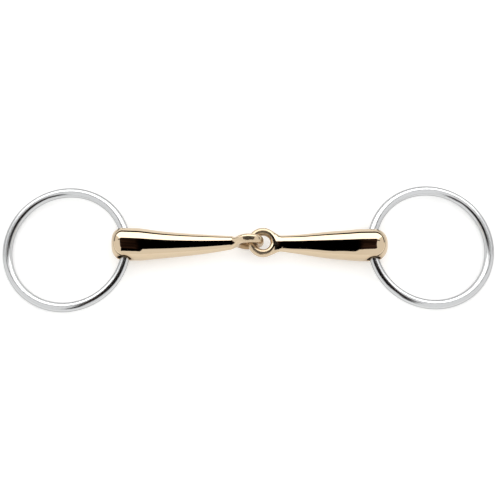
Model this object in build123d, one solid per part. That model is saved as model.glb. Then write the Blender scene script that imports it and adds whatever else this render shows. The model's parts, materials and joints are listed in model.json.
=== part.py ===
"""Loose-ring snaffle bit with a single joint in the middle, lying flat on a table.

Four pieces: two round rings, and two tapered mouthpiece arms whose small eyes are linked
like two links of a chain. Millimetres, +Z up, +X along the mouthpiece, -Y towards the front.
The table is at z = 0 and the origin is under the middle of the whole bit.
"""

import os
from math import asin, degrees

from build123d import *

# Rings: plain round wire, closed by a weld. At rest each is turned a little to the front.
ring_outer_diameter = 70.0
ring_wire_diameter = 5.1
left_ring_yaw = 4.0
right_ring_yaw = 0.0

# The distance between the two ring holes sets the width of the mouth.
hole_spacing = 134.0
hole_diameter = 7.5
hole_lip_radius = 1.0

# How far the bend of a ring reaches past the axis of its hole, so that the curved wire
# lies in the middle of the straight hole.
ring_seat = 0.65

# The thick head of both arms.
head_diameter = 17.6
head_length = 6.0

# The joint: the left eye stands on its edge, and the right eye lies flat and passes through it.
# The bit lies slightly bent, with the joint pushed back, and each eye has a little play.
left_eye_x = -0.2
left_eye_y = 1.65
eye_spacing = 7.6
right_eye_y = 1.1
eye_mean_radius = 6.1
eye_wall = 4.1
eye_thickness = 4.8

# Each arm: how far its middle bows to the front, how far the tip stands out past the hole and
# how much of that is rounding, the diameter at fractions of the arm's length from the hole,
# and the diameter of the neck before the eye.
left_bow = 1.2
left_tip_length = 7.0
left_tip_rounding = 6.0
left_taper = [(0.21, 16.2), (0.42, 13.2), (0.63, 10.7)]
left_neck_diameter = 7.5
right_bow = 0.7
right_tip_length = 7.7
right_tip_rounding = 7.3
right_taper = [(0.21, 16.7), (0.42, 14.5), (0.63, 11.3)]
right_neck_diameter = 8.9

# Where the bar of an arm goes over into its eye: the straight neck ends this far before the
# eye, and the bar ends inside the wall of the eye, a little thinner than the wall.
neck_clearance = 2.0
flare_inset = 0.6
buried_fraction = 0.85
buried_thinning = 0.8

wire_radius = ring_wire_diameter / 2
ring_mean_radius = (ring_outer_diameter - ring_wire_diameter) / 2
ring_reach = ring_mean_radius - ring_seat
head_radius = head_diameter / 2
hole_x = hole_spacing / 2
right_eye_x = left_eye_x + eye_spacing
eye_outer_radius = eye_mean_radius + eye_wall / 2

# A ring hangs out from its hole until its far edge touches the table.
ring_droop = degrees(asin((head_radius - wire_radius) / (ring_reach + ring_mean_radius)))


def ring(side, yaw):
    """One ring through its hole: side is -1 on the left and +1 on the right."""
    hoop = Pos(side * ring_reach, 0, 0) * Torus(ring_mean_radius, wire_radius)
    hoop = Rot(0, side * ring_droop, 0) * hoop
    hoop = Rot(0, 0, -side * yaw) * hoop
    return Pos(side * hole_x, 0, head_radius) * hoop


def cross_plane(spine, fraction):
    """The plane across the spine at a fraction of its length, with its own X along world Y."""
    return Plane(spine @ fraction, x_dir=(0, 1, 0), z_dir=spine % fraction)


def head(seam, tip_length, tip_rounding):
    """The thick end of an arm, from its rounded tip to the seam plane."""
    length = tip_length + head_length
    barrel = Cylinder(head_radius, length, align=(Align.CENTER, Align.CENTER, Align.MAX))
    tip_edge = barrel.edges().filter_by(GeomType.CIRCLE).sort_by(Axis.Z)[0]
    return seam * fillet(tip_edge, tip_rounding)


def shank(spine, arm_length, taper, neck_diameter):
    """The round tapered bar from the head to the neck in front of the eye."""
    rounds = [(head_length / arm_length, head_diameter)] + taper
    rounds.append((neck_fraction(arm_length), neck_diameter))
    sections = []
    for fraction, diameter in rounds:
        sections.append(cross_plane(spine, fraction) * Circle(diameter / 2))
    return loft(sections)


def neck_fraction(arm_length):
    """Where the round bar ends, as a fraction of the arm's length."""
    return 1 - (eye_outer_radius + neck_clearance) / arm_length


def flare(spine, arm_length, neck_diameter, eye_lies_flat):
    """The short piece from the round neck into the wall of the eye.

    It widens to the width of the eye, and thins to less than the eye's thickness, so that
    its end is buried in the wall.
    """
    buried_width = buried_fraction * eye_mean_radius
    buried_depth = buried_thinning * eye_thickness / 2
    neck_radius = neck_diameter / 2
    neck_plane = cross_plane(spine, neck_fraction(arm_length))
    middle_distance = arm_length - eye_outer_radius + flare_inset
    middle_plane = cross_plane(spine, middle_distance / arm_length)
    end_plane = cross_plane(spine, 1 - buried_width / arm_length)
    middle_width = (neck_radius + buried_width) / 2
    middle_depth = (neck_radius + buried_depth) / 2
    middle_section = Ellipse(middle_depth, middle_width)
    end_section = Ellipse(buried_depth, buried_width)
    if eye_lies_flat:
        middle_section = Ellipse(middle_width, middle_depth)
        end_section = Ellipse(buried_width, buried_depth)
    return loft([neck_plane * Circle(neck_radius), middle_plane * middle_section, end_plane * end_section])


def eye(lies_flat):
    """A closed ring of oval section around the origin, lying flat or standing on its edge."""
    section = Pos(eye_mean_radius, 0, 0) * SlotOverall(eye_thickness, eye_wall, rotation=90)
    standing_ring = revolve(section, Axis.Y)
    if lies_flat:
        return Rot(90, 0, 0) * standing_ring
    return standing_ring


def ring_hole():
    """The space cut for a ring: a straight hole along Y that opens like a trumpet at both ends."""
    hole_radius = hole_diameter / 2
    lip_start = head_radius - hole_lip_radius
    rim = (hole_radius + hole_lip_radius, head_radius)
    with BuildSketch() as half_section:
        with BuildLine():
            Polyline((0, 0), (hole_radius, 0), (hole_radius, lip_start))
            RadiusArc((hole_radius, lip_start), rim, hole_lip_radius)
            Polyline(rim, (rim[0], head_diameter), (0, head_diameter), (0, 0))
        make_face()
    half = revolve(half_section.sketch, Axis.Y)
    return half + mirror(half, Plane.XZ)


def arm(eye_place, bow, tip_length, tip_rounding, taper, neck_diameter, eye_lies_flat):
    """A whole arm with its ring hole at the origin and its eye towards +X."""
    middle = eye_place / 2 + Vector(0, bow, 0)
    spine = ThreePointArc((0, 0, 0), middle, eye_place)
    arm_length = spine.length
    seam = cross_plane(spine, head_length / arm_length)
    body = head(seam, tip_length, tip_rounding)
    body += shank(spine, arm_length, taper, neck_diameter)
    body += flare(spine, arm_length, neck_diameter, eye_lies_flat)
    body += Pos(*eye_place) * eye(eye_lies_flat)
    return body - ring_hole()


def left_arm():
    """The longer arm, with its eye standing on its edge."""
    eye_place = Vector(hole_x + left_eye_x, left_eye_y, 0)
    body = arm(
        eye_place, -left_bow, left_tip_length, left_tip_rounding, left_taper, left_neck_diameter, False
    )
    return Pos(-hole_x, 0, head_radius) * body


def right_arm():
    """The shorter arm, with its eye lying flat. It is made facing +X and then turned round."""
    eye_place = Vector(hole_x - right_eye_x, -right_eye_y, 0)
    body = arm(
        eye_place, right_bow, right_tip_length, right_tip_rounding, right_taper, right_neck_diameter, True
    )
    return Pos(hole_x, 0, head_radius) * Rot(0, 0, 180) * body


def main():
    pieces = {
        "left_ring": ring(-1, left_ring_yaw),
        "right_ring": ring(1, right_ring_yaw),
        "left_cannon": left_arm(),
        "right_cannon": right_arm(),
    }
    # The rings are turned by different amounts, so the bit is centred over the origin last.
    boxes = [piece.bounding_box() for piece in pieces.values()]
    middle_x = (min(box.min.X for box in boxes) + max(box.max.X for box in boxes)) / 2
    middle_y = (min(box.min.Y for box in boxes) + max(box.max.Y for box in boxes)) / 2
    os.makedirs("parts", exist_ok=True)
    for name, piece in pieces.items():
        piece = Pos(-middle_x, -middle_y, 0) * piece
        piece.label = name
        export_step(piece, "parts/" + name + ".step")
    print("moved by", round(-middle_x, 4), round(-middle_y, 4), "mm to centre it")
    print("ring droop", round(ring_droop, 3), "degrees")


main()
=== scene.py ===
"""Studio model of a loose-ring snaffle bit: two linked mouthpiece arms and two round rings."""

import json
import math

import bpy
import numpy as np
from bpy.props import FloatProperty, FloatVectorProperty, IntProperty, PointerProperty
from mathutils import Matrix, Vector


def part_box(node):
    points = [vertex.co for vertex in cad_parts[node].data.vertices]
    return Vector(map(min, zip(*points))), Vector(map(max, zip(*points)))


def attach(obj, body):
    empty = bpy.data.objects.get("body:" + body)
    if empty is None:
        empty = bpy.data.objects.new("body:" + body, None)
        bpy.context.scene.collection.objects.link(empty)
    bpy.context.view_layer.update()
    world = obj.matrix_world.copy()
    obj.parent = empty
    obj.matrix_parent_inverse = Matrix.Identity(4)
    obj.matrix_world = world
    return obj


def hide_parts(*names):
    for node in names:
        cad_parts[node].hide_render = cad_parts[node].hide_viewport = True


bl_info = {
    "name": "Loose-ring Snaffle Bit",
    "version": (1, 0, 0),
    "blender": (4, 5, 0),
    "location": "View3D > Sidebar > Snaffle",
    "description": "Builds a loose-ring snaffle bit and its studio",
    "category": "Add Mesh",
}

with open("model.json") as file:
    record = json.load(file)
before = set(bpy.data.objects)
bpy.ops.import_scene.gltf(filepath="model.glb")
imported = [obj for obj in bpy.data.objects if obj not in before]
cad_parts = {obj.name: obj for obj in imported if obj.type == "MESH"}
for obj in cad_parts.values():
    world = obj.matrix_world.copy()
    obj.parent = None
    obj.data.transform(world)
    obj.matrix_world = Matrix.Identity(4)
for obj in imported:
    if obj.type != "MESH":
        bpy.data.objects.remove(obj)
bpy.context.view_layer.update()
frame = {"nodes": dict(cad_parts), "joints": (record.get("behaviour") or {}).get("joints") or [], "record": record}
JOINTS = {joint["name"]: joint for joint in frame["joints"]}
MOUNTS = {mount["name"]: mount for mount in frame["record"]["mounts"]}
LEFT_HOLE = Vector(JOINTS["left_ring_swing"]["pos_m"])
RIGHT_HOLE = Vector(JOINTS["right_ring_swing"]["pos_m"])
RIGHT_EYE = Vector(JOINTS["mouthpiece_fold"]["pos_m"])

MM = 0.001

# The cards only show in reflections. These are the corners of the two shaped ones: x and y of
# the one that hangs over the bit, x and z of the one that stands in front of it.
OVERHEAD_HEIGHT = 0.130
OVERHEAD_OUTLINE = (
    (-0.120, 0.0600), (-0.120, -0.094), (-0.095, -0.108), (-0.078, -0.140), (-0.055, -0.155),
    (-0.030, -0.146), (-0.010, -0.130), (0.015, -0.128), (0.045, -0.135), (0.075, -0.135),
    (0.092, -0.116), (0.120, -0.094), (0.104, -0.055), (0.098, -0.022), (0.104, 0.012), (0.120, 0.0600),
)
FRONT_DISTANCE = 0.90
FRONT_OUTLINE = (
    (-0.36, 0.60), (-0.34, 0.42), (-0.30, 0.34), (-0.22, 0.34), (-0.16, 0.40), (-0.10, 0.37),
    (-0.04, 0.36), (0.00, 0.46), (0.05, 0.75), (0.05, 1.35), (-0.36, 1.35),
)
# The centre of each oblong dark card, the way that it faces, its width and its depth.
OBLONG_CARDS = {
    "card_low_behind": ((0, 0.30, 0.045), (0, -1, 0), 0.90, 0.09),
    "card_low_left": ((-0.45, 0.19, 0.04), (1, 0, 0), 0.24, 0.08),
    "card_low_right": ((0.45, 0.19, 0.04), (-1, 0, 0), 0.24, 0.08),
    "card_above_light": ((0, 0.51, 1.62), (0, 0, -1), 3.0, 0.26),
}
SOFT_LIGHT = ((0, 0.62, 0.825), (0, -1, 0), 1.6, 1.55)
FLOOR_HALF_WIDTH = 3.0


def eye_of_left_cannon(outer_radius):
    """The centre of the left eye, read from the far end of the left cannon's solid."""
    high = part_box("left_cannon")[1]
    mesh = frame["nodes"]["left_cannon"].data
    points = np.zeros(len(mesh.vertices) * 3)
    mesh.vertices.foreach_get("co", points)
    points = points.reshape(-1, 3)
    rim_depth = 2 * MM
    rim = points[points[:, 0] > high.x - rim_depth]
    middle_y = (rim[:, 1].min() + rim[:, 1].max()) / 2
    return Vector((high.x - outer_radius, middle_y, LEFT_HOLE.z))


# ---------------------------------------------------------------- settings


class MouthpieceSettings(bpy.types.PropertyGroup):
    alloy_colour: FloatVectorProperty(
        name="Alloy", description="Colour of the polished light-gold alloy",
        subtype="COLOR", size=3, min=0, max=1, default=(0.625, 0.50, 0.35),
    )
    # This colour is used for real tarnish and also for the painted shade inside and under the eyes.
    tarnish_and_shade_colour: FloatVectorProperty(
        name="Tarnish", description="Colour of the alloy where a cloth can't reach",
        subtype="COLOR", size=3, min=0, max=1, default=(0.40, 0.27, 0.15),
    )
    polish: FloatProperty(
        name="Polish", description="Roughness of the polished alloy",
        subtype="FACTOR", min=0, max=1, default=0.035,
    )
    head_diameter: FloatProperty(
        name="Head", description="Diameter of the thick end of each arm",
        unit="LENGTH", default=17.6 * MM,
    )
    hole_diameter: FloatProperty(
        name="Ring hole", description="Diameter of the hole that a ring runs in",
        unit="LENGTH", default=7.5 * MM,
    )
    lip_radius: FloatProperty(
        name="Hole lip", description="Rounding of the mouths of the ring holes",
        unit="LENGTH", default=0.7 * MM,
    )
    eye_mean_radius: FloatProperty(
        name="Eye", description="Radius of the middle line of each eye",
        unit="LENGTH", default=6.1 * MM,
    )
    eye_wall: FloatProperty(
        name="Eye wall", description="Width of an eye's wall across the ring",
        unit="LENGTH", default=4.1 * MM,
    )
    eye_thickness: FloatProperty(
        name="Eye thickness", description="Thickness of an eye along its axis",
        unit="LENGTH", default=4.8 * MM,
    )
    eye_blend: FloatProperty(
        name="Eye blend", description="Radius of the hollow where a bar runs into its eye",
        unit="LENGTH", default=2.4 * MM,
    )
    grain: FloatProperty(
        name="Mesh grain", description="Edge length of the arms' mesh before it is smoothed",
        unit="LENGTH", default=0.36 * MM,
    )


class RingSettings(bpy.types.PropertyGroup):
    steel_colour: FloatVectorProperty(
        name="Steel", description="Colour of the polished steel",
        subtype="COLOR", size=3, min=0, max=1, default=(0.60, 0.605, 0.61),
    )
    polish: FloatProperty(
        name="Polish", description="Roughness of the polished steel",
        subtype="FACTOR", min=0, max=1, default=0.17,
    )
    steps_round: IntProperty(
        name="Steps round", description="Faces round the hoop", min=32, default=288,
    )
    steps_across: IntProperty(
        name="Steps across", description="Faces round the wire", min=12, default=56,
    )


class StudioSettings(bpy.types.PropertyGroup):
    azimuth: FloatProperty(
        name="Azimuth", description="How far the camera stands to the side",
        subtype="ANGLE", default=math.radians(-2.51),
    )
    elevation: FloatProperty(
        name="Elevation", description="How high the camera looks down from",
        subtype="ANGLE", default=math.radians(71.71),
    )
    roll: FloatProperty(
        name="Roll", description="Turn of the camera about its own view",
        subtype="ANGLE", default=math.radians(2.62),
    )
    distance: FloatProperty(
        name="Distance", description="From the camera to the bit",
        subtype="DISTANCE", default=0.676,
    )
    aim: FloatVectorProperty(
        name="Aim", description="The point that the camera looks at",
        subtype="TRANSLATION", size=3, default=(-0.038 * MM, 0.809 * MM, 6.0 * MM),
    )
    lens: FloatProperty(
        name="Lens", description="Focal length of the camera in millimetres", default=89.93,
    )
    lens_shift: FloatVectorProperty(
        name="Lens shift", description="Sideways and upward shift of the lens, in widths of the image",
        size=2, default=(0.0017, -0.0069),
    )
    surroundings: FloatProperty(
        name="Surroundings", description="Brightness of the white room", default=1.1,
    )
    back_light: FloatProperty(
        name="Back light", description="Brightness of the long soft light behind the bit",
        default=2.72,
    )
    floor_glow: FloatProperty(
        name="Floor glow", description="How much the paper shines, lit from below", default=0.22,
    )
    floor_colour: FloatVectorProperty(
        name="Floor", description="Colour of the paper that the bit lies on",
        subtype="COLOR", size=3, min=0, max=1, default=(0.93, 0.93, 0.92),
    )


# ---------------------------------------------------------------- materials


class Value:
    """A number in a material. Arithmetic on it adds Math nodes."""

    def __init__(self, finish, socket):
        self.finish = finish
        self.socket = socket

    def maths(self, operation, *operands):
        inputs = dict(enumerate(operands))
        node = self.finish.node("ShaderNodeMath", {"operation": operation}, inputs)
        return Value(self.finish, node.outputs[0])

    def __add__(self, other):
        return self.maths("ADD", self, other)

    def __radd__(self, other):
        return self.maths("ADD", other, self)

    def __sub__(self, other):
        return self.maths("SUBTRACT", self, other)

    def __rsub__(self, other):
        return self.maths("SUBTRACT", other, self)

    def __mul__(self, other):
        return self.maths("MULTIPLY", self, other)

    def __rmul__(self, other):
        return self.maths("MULTIPLY", other, self)

    def __pow__(self, other):
        return self.maths("POWER", self, other)

    def root(self):
        return self.maths("SQRT", self)

    def size(self):
        """The number without its sign."""
        return self.maths("ABSOLUTE", self)

    def angle(self, base):
        """The angle, in radians, of a slope that rises by this number over a base."""
        return self.maths("ARCTAN2", self, base)

    def rise(self, start, end):
        """0 before start, 1 after end and smooth between them. Start may be above end."""
        limits = {"Value": self, "From Min": start, "From Max": end}
        node = self.finish.node("ShaderNodeMapRange", {"interpolation_type": "SMOOTHSTEP"}, limits)
        return Value(self.finish, node.outputs["Result"])


class Finish:
    """A material under construction, with one Principled shader."""

    def __init__(self, name):
        self.material = bpy.data.materials.new(name)
        self.material.use_nodes = True
        self.tree = self.material.node_tree
        self.shader = self.tree.nodes["Principled BSDF"]
        coordinates = self.node("ShaderNodeTexCoord")
        self.place = coordinates.outputs["Object"]

    def node(self, kind, settings=None, inputs=None):
        """Adds a node: its settings first, then the values or links of its sockets."""
        node = self.tree.nodes.new(kind)
        for name, setting in (settings or {}).items():
            setattr(node, name, setting)
        for name, value in (inputs or {}).items():
            self.feed(node.inputs[name], value)
        return node

    def feed(self, socket, value):
        if isinstance(value, Value):
            value = value.socket
        if isinstance(value, bpy.types.NodeSocket):
            self.tree.links.new(value, socket)
        else:
            socket.default_value = value

    def vector_maths(self, operation, first, second, output="Vector"):
        node = self.node("ShaderNodeVectorMath", {"operation": operation}, {0: first, 1: second})
        return node.outputs[output]

    def shift(self, origin):
        """Object position measured from a point, as three numbers."""
        moved = self.vector_maths("SUBTRACT", self.place, origin)
        parts = self.node("ShaderNodeSeparateXYZ", None, {0: moved})
        return [Value(self, parts.outputs[axis]) for axis in range(3)]

    def vector(self, x, y, z):
        return self.node("ShaderNodeCombineXYZ", None, {0: x, 1: y, 2: z}).outputs[0]

    def noise(self, scale, detail=3.0, vector=None, stretch=None):
        """Soft noise from 0 to 1; stretch scales the position first."""
        vector = vector or self.place
        if stretch:
            vector = self.vector_maths("MULTIPLY", vector, stretch)
        inputs = {"Vector": vector, "Scale": scale, "Detail": detail}
        return Value(self, self.node("ShaderNodeTexNoise", None, inputs).outputs[0])

    def mix(self, factor, first, second):
        """A colour between two colours."""
        inputs = {"Factor": factor, 6: first, 7: second}
        return self.node("ShaderNodeMix", {"data_type": "RGBA"}, inputs).outputs[2]

    def bump(self, height, distance, normal=None):
        """A normal for a height from 0 to 1, at half strength."""
        inputs = {"Height": height, "Distance": distance, "Strength": 0.5}
        if normal:
            inputs["Normal"] = normal
        return self.node("ShaderNodeBump", None, inputs).outputs["Normal"]

    def close(self, **inputs):
        """Sets the shader's sockets, named with underscores, and gives the material."""
        for name, value in inputs.items():
            self.feed(self.shader.inputs[name.replace("_", " ")], value)
        return self.material


def shade(colour, factor):
    return [channel * factor for channel in colour] + [1.0]


def polished_alloy(name, settings, hole, eye, eye_axis):
    """Light-gold alloy off the polishing wheel: clean on the bar, duller where a cloth can't reach, and browned by
    painted shade inside the eye and under it.
    """
    finish = Finish(name)
    across = finish.shift(hole)
    from_hole = (across[0] ** 2 + across[2] ** 2).root()
    to_eye = finish.shift(eye)
    planar = [to_eye[axis] for axis in range(3) if axis != eye_axis]
    from_eye = (planar[0] ** 2 + planar[1] ** 2).root()

    # Where the surface lies, from 0 to 1.
    hole_radius = settings.hole_diameter / 2
    stain_width = 2.2 * MM
    in_hole = from_hole.rise(hole_radius + stain_width, hole_radius - 0.2 * MM)
    half_wall = settings.eye_wall / 2
    eye_outside = settings.eye_mean_radius + half_wall
    eye_fade = 1.2 * MM
    in_eye = from_eye.rise(settings.eye_mean_radius, settings.eye_mean_radius - half_wall)
    on_eye = from_eye.rise(eye_outside + eye_fade, eye_outside - eye_fade)
    towards_bar = math.copysign(1.0, hole[0] - eye[0])
    on_bar_side = (to_eye[0] * towards_bar).rise(1.5 * MM, 5.5 * MM)
    hard_to_polish = on_eye * (1 - on_bar_side * 0.85)
    # Painted shade: the eye's underside is browned where shade falls under it, not by tarnish.
    painted_underside_shade = on_eye * to_eye[2].rise(1.0 * MM, -4.0 * MM)

    # Colour: a slow drift, smudges from handling, and brown in the hollows: tarnish in the ring hole and the eye,
    # with painted shade inside the eye and under it.
    clean = shade(settings.alloy_colour, 1.0)
    brown = shade(settings.tarnish_and_shade_colour, 1.0)
    drift = finish.noise(scale=28.0, detail=2.0).rise(0.35, 0.7)
    smudges = finish.noise(scale=160.0, detail=5.0).rise(0.52, 0.72)
    blotches = finish.noise(scale=90.0, detail=4.0)
    # Brown from tarnish in the ring hole and the eye, deepened by painted shade inside the eye and across its
    # underside.
    tarnish_and_shade = (in_hole * 0.75 + in_eye * 0.55 + painted_underside_shade * 1.1) * (0.6 + blotches * 0.8)
    drifting = finish.mix(drift, clean, shade(settings.alloy_colour, 0.96))
    handled = finish.mix(smudges * 0.10, drifting, shade(settings.tarnish_and_shade_colour, 1.25))
    browned = finish.mix(hard_to_polish * 0.22, handled, brown)
    colour = finish.mix(tarnish_and_shade, browned, brown)
    metallic = 1 - hard_to_polish * 0.18

    # Polish: fine lines round the bar from the wheel, and hairlines along it from use.
    wheel_lines = finish.noise(scale=1.0, detail=5.0, stretch=(9000.0, 500.0, 500.0))
    hairlines = finish.noise(scale=1.0, detail=2.0, stretch=(260.0, 5200.0, 5200.0)).rise(0.64, 0.74)
    roughness = settings.polish + wheel_lines * 0.012 + smudges * 0.03 + hairlines * 0.03
    roughness = roughness + hard_to_polish * 0.19 + tarnish_and_shade * 0.16

    waves = finish.noise(scale=140.0, detail=2.0)
    casting = hard_to_polish * finish.noise(scale=520.0, detail=3.0)
    normal = finish.bump(waves, distance=0.004 * MM)
    normal = finish.bump(casting, distance=0.06 * MM, normal=normal)
    normal = finish.bump(wheel_lines + hairlines * 0.6, distance=0.0006 * MM, normal=normal)
    return finish.close(Base_Color=colour, Metallic=metallic, Roughness=roughness, Normal=normal)


def polished_steel(name, settings, centre, hoop_axes, mean_radius):
    """Bright drawn steel: fine lines along the wire, and a rubbed patch where it runs in the hole."""
    finish = Finish(name)
    offset = finish.vector_maths("SUBTRACT", finish.place, centre)
    out, side, above = (
        Value(finish, finish.vector_maths("DOT_PRODUCT", offset, axis, "Value")) for axis in hoop_axes
    )
    turn = side.angle(out)
    radius = (out ** 2 + side ** 2).root()
    round_wire = above.angle(radius - mean_radius)

    along = finish.vector(turn * 9.0, round_wire, radius * 40.0)
    draw_lines = finish.noise(scale=1.0, detail=5.0, vector=along, stretch=(3.0, 24.0, 3.0))
    nicks = finish.noise(scale=420.0, detail=3.0).rise(0.66, 0.74)
    drift = finish.noise(scale=22.0, detail=2.0)
    rubbed = turn.size().rise(math.pi - 0.42, math.pi - 0.10)

    fresh = shade(settings.steel_colour, 1.0)
    drifting = finish.mix(drift.rise(0.35, 0.7), fresh, shade(settings.steel_colour, 0.95))
    worn = finish.mix(nicks * 0.18 + rubbed * 0.10, drifting, shade(settings.steel_colour, 0.72))
    roughness = settings.polish + draw_lines * 0.03 + nicks * 0.08 + rubbed * 0.06 + drift * 0.015

    waves = finish.noise(scale=110.0, detail=2.0)
    normal = finish.bump(waves, distance=0.004 * MM)
    normal = finish.bump(draw_lines - nicks * 0.5, distance=0.0008 * MM, normal=normal)
    # Painted shade: a dark specular tint darkens the wire's grazing reflections into a grey outline round the
    # ring.
    painted_dark_rim = (0.30, 0.30, 0.31, 1.0)
    return finish.close(
        Base_Color=worn, Metallic=1.0, Roughness=roughness, Normal=normal, Specular_Tint=painted_dark_rim,
    )


def black_card(name, strength):
    """Matt black, which shines white when its strength is above 0."""
    return shining(Finish(name), (1.0, 1.0, 1.0, 1.0), strength)


def shining(finish, colour, strength):
    """A card's material: it reflects nothing, and gives off light of a colour."""
    return finish.close(
        Base_Color=(0.0, 0.0, 0.0, 1.0), Specular_IOR_Level=0.0, Roughness=1.0,
        Emission_Color=colour, Emission_Strength=strength,
    )


# ---------------------------------------------------------------- meshes


def new_piece(name, vertices, faces, material):
    mesh = bpy.data.meshes.new(name)
    mesh.from_pydata(vertices, [], faces)
    mesh.materials.append(material)
    mesh.shade_smooth()
    piece = bpy.data.objects.new(name, mesh)
    bpy.context.scene.collection.objects.link(piece)
    return piece


def lengths(vectors):
    return np.sqrt((vectors * vectors).sum(axis=1))


def round_union(first, second, radius):
    """Two distances joined, with a hollow of the given radius between them."""
    one = np.maximum(radius - first, 0)
    two = np.maximum(radius - second, 0)
    return np.maximum(radius, np.minimum(first, second)) - np.hypot(one, two)


def round_cut(first, second, radius):
    """The part inside both distances, with its edge rounded to the given radius."""
    one = np.maximum(radius + first, 0)
    two = np.maximum(radius + second, 0)
    return np.minimum(-radius, np.maximum(first, second)) + np.hypot(one, two)


def smooth_step(t):
    t = np.clip(t, 0, 1)
    return t * t * (3 - 2 * t)


class Spline:
    """A smooth curve through points, level at its start."""

    def __init__(self, xs, ys):
        self.xs = np.array(xs)
        self.ys = np.array(ys)
        count = len(xs)
        gaps = np.diff(self.xs)
        slopes = np.diff(self.ys) / gaps
        matrix = np.zeros((count, count))
        right = np.zeros(count)
        matrix[0, 0] = 2 * gaps[0]
        matrix[0, 1] = gaps[0]
        right[0] = 6 * slopes[0]
        for i in range(1, count - 1):
            matrix[i, i - 1] = gaps[i - 1]
            matrix[i, i] = 2 * (gaps[i - 1] + gaps[i])
            matrix[i, i + 1] = gaps[i]
            right[i] = 6 * (slopes[i] - slopes[i - 1])
        matrix[-1, -1] = 1
        self.bends = np.linalg.solve(matrix, right)

    def at(self, x):
        x = np.clip(x, self.xs[0], self.xs[-1])
        i = np.clip(np.searchsorted(self.xs, x) - 1, 0, len(self.xs) - 2)
        gap = self.xs[i + 1] - self.xs[i]
        before = x - self.xs[i]
        after = self.xs[i + 1] - x
        bend = (self.bends[i] * after**3 + self.bends[i + 1] * before**3) / (6 * gap)
        low = (self.ys[i] / gap - self.bends[i] * gap / 6) * after
        high = (self.ys[i + 1] / gap - self.bends[i + 1] * gap / 6) * before
        return bend + low + high


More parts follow.
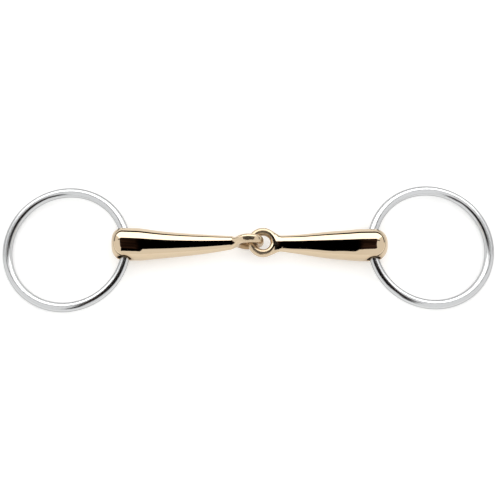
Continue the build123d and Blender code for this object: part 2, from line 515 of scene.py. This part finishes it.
class Cannon:
    """The smooth outside of one mouthpiece arm, as a distance from its surface.

    It works in the arm's own directions: x from the ring hole to the eye, y to the side, z up.
    A flat eye lies level, and any other stands on its edge.
    """

    head_length = 6.0 * MM
    neck_clearance = 2.0 * MM
    shoulder_length = 1.0 * MM
    flattening_length = 14 * MM
    flattening = 0.18
    buried_fraction = 0.85
    thinning_when_flat = 0.88
    thinning_when_upright = 0.8
    blend_lead = 0.2 * MM
    blend_length = 2.2 * MM
    blend_lost_on_top = 0.7
    least_blend = 0.01 * MM
    least_steepness = 0.05
    longest_step = 0.3 * MM
    almost_nothing = 1e-9

    def __init__(self, settings, hole, eye, facing, flat, bow, tip, rounding, taper, neck):
        self.settings = settings
        self.hole = np.array(hole)
        self.facing = np.array((facing, facing, 1.0))
        self.eye = (np.array(eye) - self.hole) * self.facing
        self.flat = flat
        self.bow = bow
        self.tip = tip
        self.rounding = rounding
        self.reach = math.hypot(self.eye[0], self.eye[1])
        outer = settings.eye_mean_radius + settings.eye_wall / 2
        self.neck_x = self.reach - outer - self.neck_clearance
        self.thinning_x = self.neck_x - self.shoulder_length if flat else self.neck_x
        self.end_x = self.reach - self.buried_fraction * settings.eye_mean_radius
        self.end_width = self.buried_fraction * settings.eye_mean_radius
        thinning = self.thinning_when_flat if flat else self.thinning_when_upright
        self.end_depth = thinning * settings.eye_thickness / 2
        stations = [self.head_length] + [part * self.reach for part, _ in taper] + [self.neck_x]
        diameters = [settings.head_diameter] + [diameter for _, diameter in taper] + [neck]
        self.radius = Spline(stations, [diameter / 2 for diameter in diameters])

    def spine(self, x):
        """How far the bar's middle line stands to the side, with its slope."""
        part = np.maximum(x / self.reach, self.head_length / self.reach)
        slope = self.eye[1] / self.reach + 4 * self.bow * (1 - 2 * part) / self.reach
        side = self.eye[1] * part + 4 * self.bow * part * (1 - part)
        return side + slope * (x - part * self.reach), slope

    def bar(self, p):
        """The bar with its rounded tip and the flare into the eye."""
        side, slope = self.spine(p[:, 0])
        y = (p[:, 1] - side) / np.sqrt(1 + slope**2)
        z = p[:, 2]
        radius = self.radius.at(p[:, 0])
        thickness = radius
        if self.flat:
            flattening_x = self.neck_x - self.flattening_length
            flattened = smooth_step((p[:, 0] - flattening_x) / self.flattening_length)
            thickness = radius * (1 - self.flattening * flattened)
        widening = smooth_step((p[:, 0] - self.neck_x) / (self.end_x - self.neck_x))
        thinning = smooth_step((p[:, 0] - self.thinning_x) / (self.end_x - self.thinning_x))
        half_wide = radius + (self.end_width - radius) * widening
        half_deep = thickness + (self.end_depth - thickness) * thinning
        half_y, half_z = (half_wide, half_deep) if self.flat else (half_deep, half_wide)
        scaled = np.maximum(np.hypot(y / half_y, z / half_z), self.almost_nothing)
        steepness = np.maximum(np.hypot(y / half_y**2, z / half_z**2), self.almost_nothing)
        outside = scaled * (scaled - 1) / steepness
        to_tip = -self.tip - p[:, 0]
        tipped = round_cut(outside, to_tip, self.rounding)
        return np.maximum(tipped, p[:, 0] - self.end_x)

    def loop(self, p):
        """The distance from the eye, a ring of oval section, and each point's place round it:
        how far it is from the eye's axis and from its middle plane."""
        q = p - self.eye
        upright, level = (q[:, 2], q[:, 1]) if self.flat else (q[:, 1], q[:, 2])
        across = np.hypot(q[:, 0], level)
        wall = self.settings.eye_wall / 2
        straight = (self.settings.eye_thickness - self.settings.eye_wall) / 2
        above = np.abs(upright)
        from_middle_line = np.hypot(across - self.settings.eye_mean_radius, np.maximum(above - straight, 0))
        return from_middle_line - wall, across, above

    def distance(self, world):
        """How far points stand outside the arm. It is negative inside."""
        p = (world - self.hole) * self.facing
        loop, across, above = self.loop(p)
        blend_start = self.settings.eye_mean_radius - self.blend_lead
        outside = smooth_step((across - blend_start) / self.blend_length)
        height = smooth_step(above / (self.settings.eye_thickness / 2))
        blend = self.settings.eye_blend * outside * (1 - self.blend_lost_on_top * height)
        body = round_union(self.bar(p), loop, np.maximum(blend, self.least_blend))
        opening = self.settings.hole_diameter / 2 - np.hypot(p[:, 0], p[:, 2])
        return round_cut(body, opening, self.settings.lip_radius)

    def gradient(self, world):
        step = 0.01 * MM
        columns = []
        for axis in range(3):
            nudge = np.zeros(3)
            nudge[axis] = step
            columns.append((self.distance(world + nudge) - self.distance(world - nudge)) / (2 * step))
        return np.stack(columns, axis=1)

    def settle(self, points):
        """Moves points onto the surface along its steepest way."""
        slope = self.gradient(points)
        steepness = np.maximum((slope * slope).sum(axis=1), self.least_steepness)
        step = self.distance(points) / steepness
        step = np.clip(step, -self.longest_step, self.longest_step)
        return points - slope * step[:, None]


def remeshed(node, grain, name):
    """An even copy of a CAD node's mesh."""
    source = bpy.data.objects.new(name + "_source", frame["nodes"][node].data.copy())
    bpy.context.scene.collection.objects.link(source)
    remesh = source.modifiers.new("even", "REMESH")
    remesh.mode = "VOXEL"
    remesh.voxel_size = grain
    bpy.context.view_layer.update()
    evaluated = source.evaluated_get(bpy.context.evaluated_depsgraph_get())
    mesh = bpy.data.meshes.new_from_object(evaluated)
    mesh.name = name
    bpy.data.objects.remove(source)
    return mesh


def relaxed(points, edges):
    """Each point moved half way to the middle of its neighbours."""
    count = len(points)
    totals = np.zeros_like(points)
    for start, end in ((0, 1), (1, 0)):
        for axis in range(3):
            totals[:, axis] += np.bincount(edges[:, start], points[edges[:, end], axis], count)
    neighbours = np.bincount(edges.ravel(), minlength=count)
    return (points + totals / neighbours[:, None]) / 2


def make_cannon(name, node, cannon, material):
    """The visible arm: the solid's mesh made even, then drawn onto the smooth surface."""
    first_settles, relaxing_rounds, last_settles = 4, 6, 3
    allowed_error = 0.05 * MM
    mesh = remeshed(node, cannon.settings.grain, name)
    count = len(mesh.vertices)
    points = np.zeros(count * 3)
    mesh.vertices.foreach_get("co", points)
    points = points.reshape(-1, 3)
    edges = np.zeros(len(mesh.edges) * 2, dtype=int)
    mesh.edges.foreach_get("vertices", edges)
    edges = edges.reshape(-1, 2)
    for _ in range(first_settles):
        points = cannon.settle(points)
    for _ in range(relaxing_rounds):
        points = cannon.settle(relaxed(points, edges))
    for _ in range(last_settles):
        points = cannon.settle(points)
    worst = np.abs(cannon.distance(points)).max()
    if worst > allowed_error:
        raise RuntimeError(f"{name}: a point is {worst / MM:.3f} mm off the surface")
    mesh.vertices.foreach_set("co", points.astype(np.float32).ravel())
    mesh.update()
    mesh.shade_smooth()
    normals = cannon.gradient(points)
    normals /= lengths(normals)[:, None]
    mesh.normals_split_custom_set_from_vertices(normals.tolist())
    mesh.materials.clear()
    mesh.materials.append(material)
    piece = bpy.data.objects.new(name, mesh)
    bpy.context.scene.collection.objects.link(piece)
    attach(piece, node)
    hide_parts(node)


def make_hoop(name, node, hole, mount, settings):
    """A closed hoop of round wire, hanging out from its hole."""
    centre = Vector(mount["pos_m"])
    inside = mount["dims"]["r_mm"] * MM
    wire = mount["dims"]["length_mm"] * MM / 2
    mean = inside + wire
    out = (centre - hole).normalized()
    side = Vector((-out.y, out.x, 0)).normalized()
    above = out.cross(side)
    vertices = []
    faces = []
    round_count = settings.steps_round
    across_count = settings.steps_across
    for i in range(round_count):
        turn = math.tau * i / round_count
        spoke = out * math.cos(turn) + side * math.sin(turn)
        for j in range(across_count):
            lean = math.tau * j / across_count
            from_centre = spoke * (mean + wire * math.cos(lean))
            vertices.append(centre + from_centre + above * (wire * math.sin(lean)))
            corners = ((i, j), (i + 1, j), (i + 1, j + 1), (i, j + 1))
            faces.append([(a % round_count) * across_count + b % across_count for a, b in corners])
    material = polished_steel(name + "_steel", settings, centre, (out, side, above), mean)
    piece = new_piece(name, vertices, faces, material)
    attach(piece, node)
    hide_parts(node)


def make_outline(name, corners, material):
    """A flat card cut to an outline, which shows only in reflections."""
    card = new_piece(name, corners, [tuple(range(len(corners)))], material)
    card.visible_camera = False
    card.visible_diffuse = False
    card.visible_shadow = False


def make_card(name, centre, facing, width, depth, material):
    """An oblong card that shows only in reflections. It stands upright or hangs level."""
    facing = Vector(facing)
    hangs_level = facing.z != 0
    across = Vector((1, 0, 0)) if hangs_level else facing.cross(Vector((0, 0, 1)))
    along = facing.cross(across)
    corners = []
    for x, y in ((-1, -1), (1, -1), (1, 1), (-1, 1)):
        corners.append(Vector(centre) + across * (x * width / 2) + along * (y * depth / 2))
    make_outline(name, corners, material)


# ---------------------------------------------------------------- operators


class SNAFFLE_OT_make_mouthpiece(bpy.types.Operator):
    """Make the two linked arms of the mouthpiece"""

    bl_idname = "snaffle.make_mouthpiece"
    bl_label = "Make Mouthpiece"

    def execute(self, context):
        settings = context.scene.snaffle_mouthpiece
        outer = settings.eye_mean_radius + settings.eye_wall / 2
        left_eye = eye_of_left_cannon(outer)
        left = Cannon(
            settings, LEFT_HOLE, left_eye, facing=1, flat=False,
            bow=-1.2 * MM, tip=7.0 * MM, rounding=6.0 * MM,
            taper=((0.21, 16.2 * MM), (0.42, 13.2 * MM), (0.63, 10.7 * MM)), neck=7.5 * MM,
        )
        right = Cannon(
            settings, RIGHT_HOLE, RIGHT_EYE, facing=-1, flat=True,
            bow=0.7 * MM, tip=7.7 * MM, rounding=7.3 * MM,
            taper=((0.21, 16.7 * MM), (0.42, 14.5 * MM), (0.63, 11.3 * MM)), neck=8.9 * MM,
        )
        left_alloy = polished_alloy("left_alloy", settings, LEFT_HOLE, left_eye, eye_axis=1)
        right_alloy = polished_alloy("right_alloy", settings, RIGHT_HOLE, RIGHT_EYE, eye_axis=2)
        make_cannon("left_mouthpiece_arm", "left_cannon", left, left_alloy)
        make_cannon("right_mouthpiece_arm", "right_cannon", right, right_alloy)
        return {"FINISHED"}


class SNAFFLE_OT_make_rings(bpy.types.Operator):
    """Make the two loose rings"""

    bl_idname = "snaffle.make_rings"
    bl_label = "Make Rings"

    def execute(self, context):
        settings = context.scene.snaffle_rings
        make_hoop("left_loose_ring", "left_ring", LEFT_HOLE, MOUNTS["left_rein_ring"], settings)
        make_hoop("right_loose_ring", "right_ring", RIGHT_HOLE, MOUNTS["right_rein_ring"], settings)
        return {"FINISHED"}


class SNAFFLE_OT_make_studio(bpy.types.Operator):
    """Make the floor, the lights and the camera"""

    bl_idname = "snaffle.make_studio"
    bl_label = "Make Studio"

    def execute(self, context):
        settings = context.scene.snaffle_studio
        self.make_floor(settings)
        self.make_surroundings(context.scene, settings)
        self.make_cards(settings)
        self.make_camera(context.scene, settings)
        return {"FINISHED"}

    def make_floor(self, settings):
        finish = Finish("pale_paper")
        fibres = finish.noise(scale=900.0, detail=4.0)
        colour = finish.mix(fibres, shade(settings.floor_colour, 0.99), shade(settings.floor_colour, 1.01))
        paper = finish.close(
            Base_Color=colour, Roughness=0.85, Specular_IOR_Level=0.1,
            Emission_Color=(1.0, 1.0, 1.0, 1.0), Emission_Strength=settings.floor_glow,
        )
        reach = FLOOR_HALF_WIDTH
        corners = [(-reach, -reach, 0), (reach, -reach, 0), (reach, reach, 0), (-reach, reach, 0)]
        new_piece("floor", corners, [(0, 1, 2, 3)], paper)

    def make_surroundings(self, scene, settings):
        world = bpy.data.worlds.new("white_room")
        world.use_nodes = True
        background = world.node_tree.nodes["Background"]
        background.inputs["Color"].default_value = (1.0, 1.0, 1.0, 1.0)
        background.inputs["Strength"].default_value = settings.surroundings
        scene.world = world
        scene.view_settings.view_transform = "Standard"
        scene.view_settings.look = "None"

    def make_cards(self, settings):
        """Cards that give the polished metal its bands and its fine dark edges."""
        dark = black_card("dark_card", 0.0)
        bright = black_card("soft_light", settings.back_light)
        overhead = [(x, y, OVERHEAD_HEIGHT) for x, y in OVERHEAD_OUTLINE]
        make_outline("card_overhead", overhead, self.make_overhead_finish())
        make_outline("card_front", [(x, -FRONT_DISTANCE, z) for x, z in FRONT_OUTLINE], dark)
        for name, (centre, facing, width, depth) in OBLONG_CARDS.items():
            make_card(name, centre, facing, width, depth, dark)
        make_card("light_behind", *SOFT_LIGHT, bright)

    def make_overhead_finish(self):
        """Black in the middle, with the card's two ends glowing a little brown, which paints brown glints into the
        dark band that the card makes in the metal.
        """
        finish = Finish("overhead_card")
        x = finish.shift((0, 0, 0))[0]
        # Painted glints: the card's ends glow brown, in patches, so the dark band in the metal shows warm
        # reflections near its ends.
        ends = x.rise(-0.045, -0.105) * 0.7 + x.rise(0.050, 0.100)
        painted_glints = finish.noise(scale=45.0, detail=2.0).rise(0.40, 0.62)
        brown = (0.085, 0.045, 0.034, 1)
        colour = finish.mix(ends * (0.30 + painted_glints * 0.70), (0, 0, 0, 1), brown)
        return shining(finish, colour, 1.0)

    def make_camera(self, scene, settings):
        azimuth, elevation, roll = settings.azimuth, settings.elevation, settings.roll
        level = math.cos(elevation)
        back = Vector((math.sin(azimuth) * level, -math.cos(azimuth) * level, math.sin(elevation)))
        right = Vector((math.cos(azimuth), math.sin(azimuth), 0))
        up = back.cross(right)
        across = right * math.cos(roll) + up * math.sin(roll)
        upward = up * math.cos(roll) - right * math.sin(roll)
        turned = Matrix((across, upward, back)).transposed().to_4x4()
        lens = bpy.data.cameras.new("camera")
        lens.sensor_width = 36.0
        lens.lens = settings.lens
        lens.shift_x, lens.shift_y = settings.lens_shift
        lens.clip_start = 0.01
        camera = bpy.data.objects.new("camera", lens)
        place = Vector(settings.aim) + back * settings.distance
        camera.matrix_world = Matrix.Translation(place) @ turned
        scene.collection.objects.link(camera)
        bpy.context.scene.camera = camera


class SNAFFLE_PT_panel(bpy.types.Panel):
    """Lists the sizes, the finishes and the steps"""

    bl_idname = "SNAFFLE_PT_panel"
    bl_label = "Loose-ring Snaffle"
    bl_space_type = "VIEW_3D"
    bl_region_type = "UI"
    bl_category = "Snaffle"

    def draw(self, context):
        for group in ("snaffle_mouthpiece", "snaffle_rings", "snaffle_studio"):
            settings = getattr(context.scene, group)
            box = self.layout.box()
            for name in settings.__annotations__:
                box.prop(settings, name)
        for operator in OPERATORS:
            self.layout.operator(operator.bl_idname)


SETTINGS = {
    "snaffle_mouthpiece": MouthpieceSettings,
    "snaffle_rings": RingSettings,
    "snaffle_studio": StudioSettings,
}
OPERATORS = (SNAFFLE_OT_make_mouthpiece, SNAFFLE_OT_make_rings, SNAFFLE_OT_make_studio)


def register():
    for name, settings in SETTINGS.items():
        bpy.utils.register_class(settings)
        setattr(bpy.types.Scene, name, PointerProperty(type=settings))
    for operator in OPERATORS:
        bpy.utils.register_class(operator)
    bpy.utils.register_class(SNAFFLE_PT_panel)


def unregister():
    bpy.utils.unregister_class(SNAFFLE_PT_panel)
    for operator in reversed(OPERATORS):
        bpy.utils.unregister_class(operator)
    for name, settings in SETTINGS.items():
        delattr(bpy.types.Scene, name)
        bpy.utils.unregister_class(settings)


def main():
    register()
    bpy.ops.snaffle.make_studio()
    bpy.ops.snaffle.make_rings()
    bpy.ops.snaffle.make_mouthpiece()


if __name__ == "__main__":
    main()
